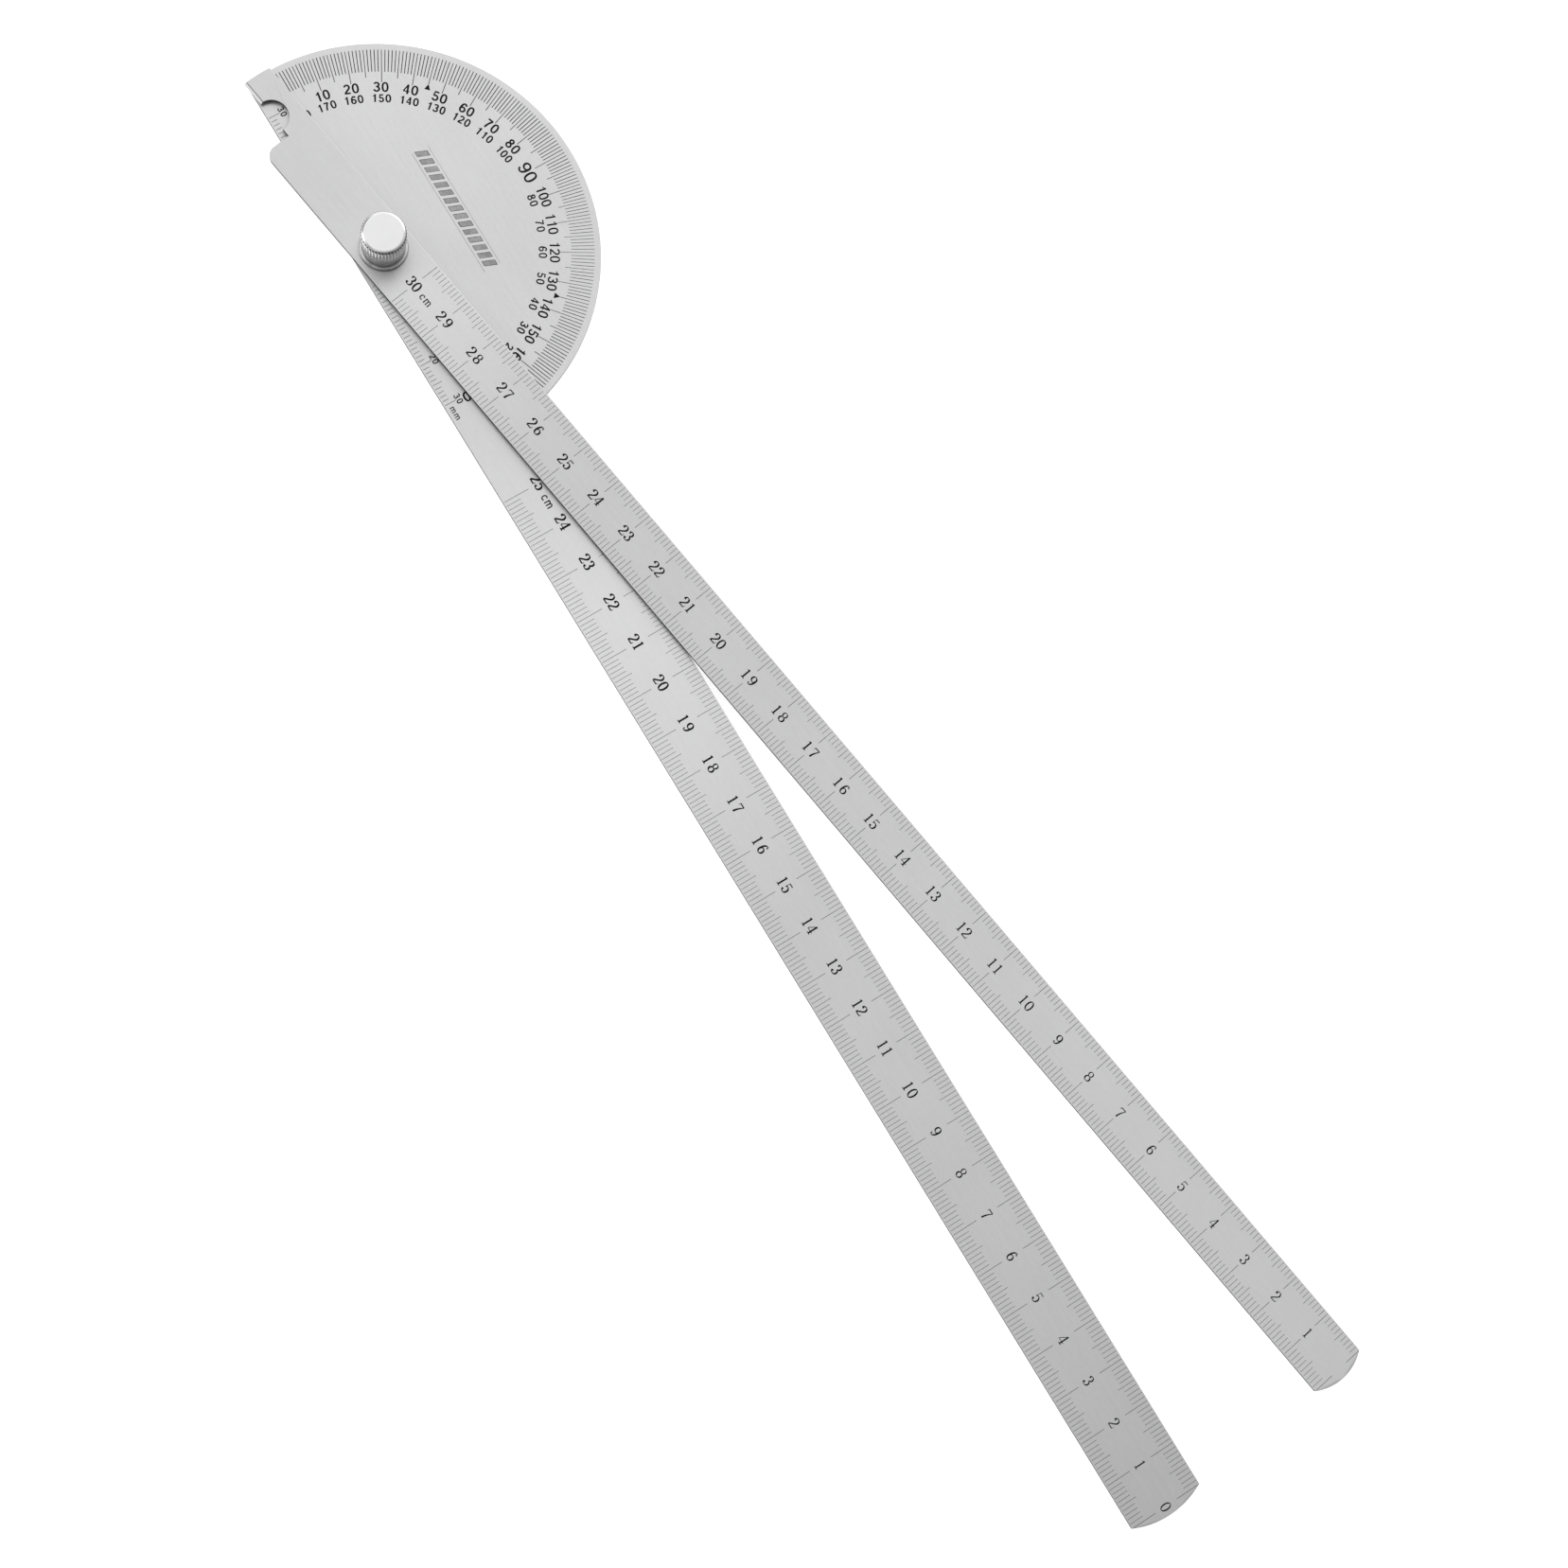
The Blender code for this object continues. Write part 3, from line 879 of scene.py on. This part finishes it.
arm_lines, arm_figures = Ink(ARM_Z1), Ink(ARM_Z1)
for mm in range(301):
    u = ARM_ZERO_U - mm
    c = arm_middle(u)
    kind = 0 if mm % 10 == 0 else 1 if mm % 5 == 0 else 2
    w = (0.1, 0.09, 0.088)[kind]
    arm_lines.bar(u, ARM_HALF - 0.25, u, c + (2.1, 3.3, 4.05)[kind], w)
    arm_lines.bar(u, -ARM_HALF + 0.25, u, c - (2.0, 3.2, 4.0)[kind], w)
arm_lines.bar(-46.2, 0.54, -40.85, 0.54, 0.13)
for cm in range(1, 31):
    u = ARM_ZERO_U - 10 * cm - 0.15
    centimetres(arm_figures, cm, 2.34, (u, arm_middle(u) - 0.09), 1.18, 0.0, 1.02)
for i, c in enumerate("cm"):
    text(
        arm_figures, c, SERIF, 1.25, 1.0,
        (ARM_ZERO_U - 300 + (3.2, 4.8)[i], arm_middle(14) - 0.6), (0, 1), 1.0, (0.9, 1.4)[i],
    )

for ink, name, material, body, turn in (
    (head_lines, "degree_scale", line_ink, "plate", None),
    (head_figures, "degree_figures", black_ink, "plate", None),
    (base_lines, "baseline_scale", line_ink, "plate", None),
    (panel, "plain_panel", grey_ink, "plate", None),
    (panel_lines, "panel_outlines", line_ink, "plate", None),
    (blade_lines, "blade_scale", line_ink, "plate", None),
    (blade_figures, "blade_figures", black_ink, "plate", None),
    (arm_lines, "arm_scale", line_ink, "arm", ARM_TURN),
    (arm_figures, "arm_figures", black_ink, "arm", ARM_TURN),
):
    obj = ink.build(name, material)
    if turn is not None:
        obj.data.transform(turn)
    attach(obj, body)


# ---------------------------------------------------------------- nut, washers and stud
def knurl_ring(r_out, r_in, per_ridge=8):
    """A straight knurl's section: ridges with a narrow flat top and a rounded valley."""
    points = []
    count = NUT_RIDGES * per_ridge
    for i in range(count):
        t = (i % per_ridge) / per_ridge
        k = abs(2 * t - 1)
        k = min(1.0, max(0.0, (k - 0.12) / 0.76))
        k = k * k * (3 - 2 * k)
        r = r_in + (r_out - r_in) * k
        a = 2 * math.pi * (i - 0.5 * per_ridge + per_ridge / 2) / count
        points.append((r * math.cos(a), r * math.sin(a)))
    return points


def nut_sections():
    sides = NUT_RIDGES * 8
    z0, z1 = NUT_Z0, NUT_Z1
    zk = z0 + NUT_COLLAR_H
    s = []
    circle = lambda r, z: s.append((ring_points(r, sides), z))
    knurl = lambda r, z, v=NUT_VALLEY_R: s.append((knurl_ring(r, v), z))
    circle(NUT_BORE_R - 0.3, z0 + NUT_BORE_DEPTH)
    circle(NUT_BORE_R, z0 + NUT_BORE_DEPTH - 0.3)
    circle(NUT_BORE_R, z0 + 0.35)
    circle(NUT_BORE_R + 0.35, z0)
    circle(NUT_COLLAR_R - 0.22, z0)
    circle(NUT_COLLAR_R - 0.07, z0 + 0.07)
    circle(NUT_COLLAR_R, z0 + 0.25)
    circle(NUT_COLLAR_R, zk - 0.02)
    circle(NUT_COLLAR_R + 0.01, zk)
    knurl(NUT_VALLEY_R + 0.04, zk + 0.05, NUT_COLLAR_R + 0.03)
    knurl(NUT_KNURL_R - 0.06, zk + 0.15)
    knurl(NUT_KNURL_R, zk + 0.24)
    knurl(NUT_KNURL_R, z1 - 0.66)
    knurl(NUT_KNURL_R - 0.04, z1 - 0.59)
    knurl(NUT_VALLEY_R + 0.04, z1 - 0.50, NUT_VALLEY_R - 0.02)
    circle(NUT_VALLEY_R - 0.04, z1 - 0.46)
    circle(NUT_VALLEY_R - 0.05, z1 - 0.34)
    circle(NUT_TOP_R + 0.09, z1 - 0.315)
    circle(NUT_TOP_R + 0.13, z1 - 0.285)
    circle(NUT_TOP_R + 0.10, z1 - 0.235)
    circle(NUT_TOP_R - 0.22, z1 - 0.05)
    circle(NUT_TOP_R - 0.34, z1 - 0.012)
    circle(NUT_TOP_R - 0.48, z1)
    circle(NUT_TOP_R - 0.60, z1)
    return s


nut = lofted("knurled_nut", nut_sections(), nut_metal, sharp=38)
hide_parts("thumb_nut")
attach(nut, "nut")


def ring_piece(name, node, r, hole_r, z0, z1, edge, material, body):
    corners = [
        (hole_r, (z0 + z1) / 2, 0),
        (hole_r, z0, min(edge, 0.08)),
        (r, z0, edge),
        (r, z1, edge),
        (hole_r, z1, min(edge, 0.08)),
        (hole_r, (z0 + z1) / 2, 0),
    ]
    sections = rounded_profile(corners, 128)[:-1]
    obj = lofted(name, sections, material, closed=True)
    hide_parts(node)
    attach(obj, body)
    return obj


ring_piece("flat_washer", "clamp_washer", WASHER_R, WASHER_HOLE_R, WASHER_Z0, WASHER_Z1, 0.14, washer_metal, "washer")
ring_piece("friction_washer", "spacer_washer", SPACER_R, SPACER_HOLE_R, SPACER_Z0, SPACER_Z1, 0.05, washer_metal, "plate")


def stud_piece():
    """The stud: a low flat head, a plain journal and a real helical thread."""
    sides = 96
    head_top = PLATE_Z0 - 0.02
    shoulder_top = ARM_Z1 - 0.1
    s = rounded_profile(
        [
            (STUD_HEAD_R - 0.9, STUD_Z0, 0),
            (STUD_HEAD_R - 0.3, STUD_Z0, 0.12),
            (STUD_HEAD_R, STUD_Z0 + 0.3, 0.12),
            (STUD_HEAD_R, head_top, 0.1),
            (SHOULDER_R, head_top, 0),
            (SHOULDER_R, shoulder_top, 0.12),
            (THREAD_R - 0.32, shoulder_top, 0),
        ],
        sides,
    )
    root, crest = THREAD_R - 0.36, THREAD_R - 0.01
    z = shoulder_top + 0.25
    top = STUD_Z1 - 0.35
    step = PITCH / 12
    while z < top:
        ring = []
        fade = min(1.0, (z - shoulder_top - 0.25) / 0.5, (top - z) / 0.4)
        for i in range(sides):
            a = 2 * math.pi * i / sides
            phase = ((z / PITCH) - i / sides) % 1.0
            k = max(0.0, 1 - abs(2 * phase - 1) * 1.25)
            r = root + (crest - root) * min(1.0, k * 1.15) * fade
            ring.append((r * math.cos(a), r * math.sin(a)))
        s.append((ring, z))
        z += step
    s.append((ring_points(root, sides), top))
    s.append((ring_points(root - 0.3, sides), STUD_Z1))
    obj = lofted("threaded_stud", s, stud_metal, sharp=45)
    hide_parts("pivot_stud")
    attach(obj, "plate")
    return obj


stud_piece()


# ---------------------------------------------------------------- floor, light and camera
def make_floor():
    bpy.ops.mesh.primitive_plane_add(size=6.0, location=(0.15, 0, 0))
    floor = bpy.context.object
    floor.name = "floor"
    m, nt, p = nodes_of("floor_white")
    p.inputs["Base Color"].default_value = (0.9, 0.9, 0.9, 1)
    p.inputs["Roughness"].default_value = 0.9
    p.inputs["Specular IOR Level"].default_value = 0.0
    p.inputs["Emission Color"].default_value = (1, 1, 1, 1)
    p.inputs["Emission Strength"].default_value = 0.55
    floor.data.materials.append(m)


def area(name, location, target, size, power):
    light = bpy.data.lights.new(name, "AREA")
    light.shape = "RECTANGLE"
    light.size, light.size_y = size
    light.energy = power
    obj = bpy.data.objects.new(name, light)
    bpy.context.scene.collection.objects.link(obj)
    obj.location = location
    obj.rotation_mode = "QUATERNION"
    obj.rotation_quaternion = (Vector(target) - Vector(location)).to_track_quat("-Z", "Y")
    return obj


def make_world():
    world = bpy.data.worlds.new("studio")
    bpy.context.scene.world = world
    world.use_nodes = True
    nt = world.node_tree
    bg = nt.nodes["Background"]
    tc = new(nt, "ShaderNodeTexCoord")
    sep = new(nt, "ShaderNodeSeparateXYZ")
    nt.links.new(tc.outputs["Generated"], sep.inputs[0])

    def glow(direction, inner, outer, value):
        """A soft round patch of light, added to the rest, from full at the inner angle to none at the outer one."""
        d = Vector(direction).normalized()
        dot = new(nt, "ShaderNodeVectorMath", operation="DOT_PRODUCT")
        nt.links.new(tc.outputs["Generated"], dot.inputs[0])
        dot.inputs[1].default_value = d
        n = new(nt, "ShaderNodeMapRange", interpolation_type="SMOOTHSTEP")
        n.inputs["From Min"].default_value = math.cos(math.radians(outer))
        n.inputs["From Max"].default_value = math.cos(math.radians(inner))
        n.inputs["To Min"].default_value = 0.0
        n.inputs["To Max"].default_value = value
        nt.links.new(dot.outputs["Value"], n.inputs["Value"])
        return n.outputs["Result"]

    # brighter over the head's side of the room, darker beyond the blades' free ends
    f = remap(nt, sep.outputs["X"], -0.5, 0.5, *SKY)
    for g in GLOWS:
        f = math_node(nt, "ADD", f, glow(*g))
    f = math_node(nt, "MAXIMUM", f, 0.02)
    nt.links.new(shade_colour(nt, (1.0, 1.0, 1.0), f), bg.inputs["Color"])
    bg.inputs["Strength"].default_value = 1.0


def make_camera():
    right = Vector((0.523258, 0.841854, 0.132569))
    down = Vector((0.849301, -0.502227, -0.162930))
    ahead = Vector((-0.070583, 0.197845, -0.977691))
    data = bpy.data.cameras.new("camera")
    data.lens = 69.0501
    data.sensor_width = 36.0
    data.clip_start, data.clip_end = 0.01, 20.0
    cam = bpy.data.objects.new("camera", data)
    bpy.context.scene.collection.objects.link(cam)
    place = Vector((186.559, -112.133, 619.322 + PLATE_Z1)) * MM
    rot = Matrix((right, -down, -ahead)).transposed().to_4x4()
    cam.matrix_world = Matrix.Translation(place) @ rot
    bpy.context.scene.camera = cam


SKY = (1.27, 0.58)
GLOWS = (
    ((-0.77, -0.63, 0.0), 15, 50, 0.7),
    ((-0.37, 0.82, 0.40), 6, 30, 1.5),
    ((0.80, -0.48, 0.3), 10, 45, -0.35),
    ((-0.87, -0.30, 0.36), 12, 32, -1.4),
    ((-0.10, -0.73, 0.67), 5, 22, -0.6),
    ((0.85, 0.25, 0.4), 10, 38, -0.2),
)
make_floor()
make_world()
make_camera()
area("key", (-0.9, -1.2, 0.55), (0, 0, 0), (0.5, 0.3), 6.0)
bpy.context.scene.view_settings.view_transform = "Standard"
bpy.context.scene.view_settings.look = "None"
